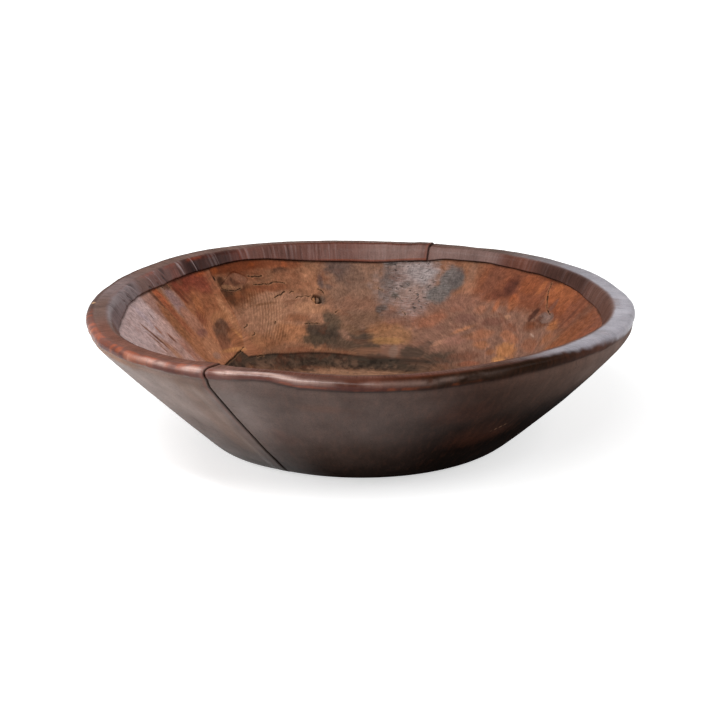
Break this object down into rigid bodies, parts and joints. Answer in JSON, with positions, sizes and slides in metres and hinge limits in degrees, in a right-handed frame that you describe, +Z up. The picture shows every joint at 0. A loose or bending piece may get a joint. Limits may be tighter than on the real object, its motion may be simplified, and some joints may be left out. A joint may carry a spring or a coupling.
{
  "type": "dough bowl",
  "caption": "Round, thick-walled carved wooden dough bowl with a flat base, its outside and rim covered in two lapped leather panels turned down inside the rim.",
  "frame": {"origin": "centre of the bowl's outline, seen from above, on the surface that the bowl stands on", "axes": "+Z is up, +X is the right-hand side and +Y the back of the bowl as pictured"},
  "size_m": [0.557, 0.546, 0.1411],
  "materials": {
    "bowl_wood": "old oiled hardwood, scraped, stained dark in places",
    "cover_leather": "smooth waxed vegetable-tanned leather, reddish where worn",
    "knot_wood": "broken end grain, dull",
    "pale_filler": "pale wood filler, dull and slightly rough",
    "dark_filler": "dark wood filler, rubbed smooth"
  },
  "bodies": {
    "root": {"carved_bowl": "bowl_wood", "left_leather_cover": "cover_leather", "right_leather_cover": "cover_leather", "dead_knot": "knot_wood", "left_filler_patch": "pale_filler", "right_filler_patch": "dark_filler"}
  },
  "joints": []
}
